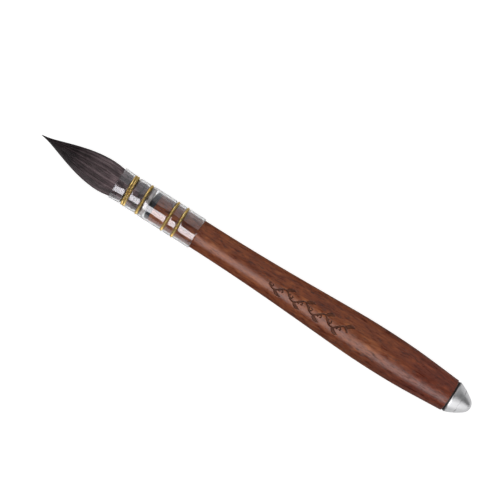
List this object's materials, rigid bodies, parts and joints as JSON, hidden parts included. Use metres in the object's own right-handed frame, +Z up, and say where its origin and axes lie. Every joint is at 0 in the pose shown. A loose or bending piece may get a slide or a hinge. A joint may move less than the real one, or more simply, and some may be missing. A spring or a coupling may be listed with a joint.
{
  "type": "paint brush",
  "caption": "Round mop watercolour brush: pointed hair tuft in a clear quill bound with twisted brass wire, on a turned wooden handle with a metal end cap.",
  "frame": {"origin": "under the middle of the brush's length, on the surface that the handle's widest girth touches", "axes": "+X along the brush from the hair to the end cap, +Z up, +Y to the side; the brush's own axis is parallel to X, one girth radius (7.2 mm) up"},
  "size_m": [0.1696, 0.0144, 0.0144],
  "materials": {
    "hair": "soft natural hair, silky",
    "thread": "waxed thread",
    "resin": "pale set resin",
    "black_seal": "black sealing glue",
    "clear_quill": "clear soft plastic, glossy",
    "brass_wire": "bright drawn wire",
    "handle_wood": "red-brown open-pored wood, satin oil varnish",
    "dark_glue": "dark glue line",
    "satin_aluminium": "satin turned aluminium"
  },
  "bodies": {
    "brush": {"hair_root": "hair", "root_thread": "thread", "resin_plug": "resin", "tenon_seal": "black_seal", "quill": "clear_quill", "handle": "handle_wood", "cap_glue": "dark_glue", "end_cap": "satin_aluminium", "wire_mouth": "brass_wire", "wire_front": "brass_wire", "wire_middle": "brass_wire", "wire_rear": "brass_wire"},
    "tuft": {"hair_tip": "hair"}
  },
  "joints": [
    {"name": "tuft_flex", "type": "hinge", "parent": "brush", "child": "tuft", "pos_m": [-0.0548, 0, 0.0072], "axis": [0, 0, 1], "range_deg": [-35, 35], "stiffness_Nm_per_rad": 0.0025}
  ]
}
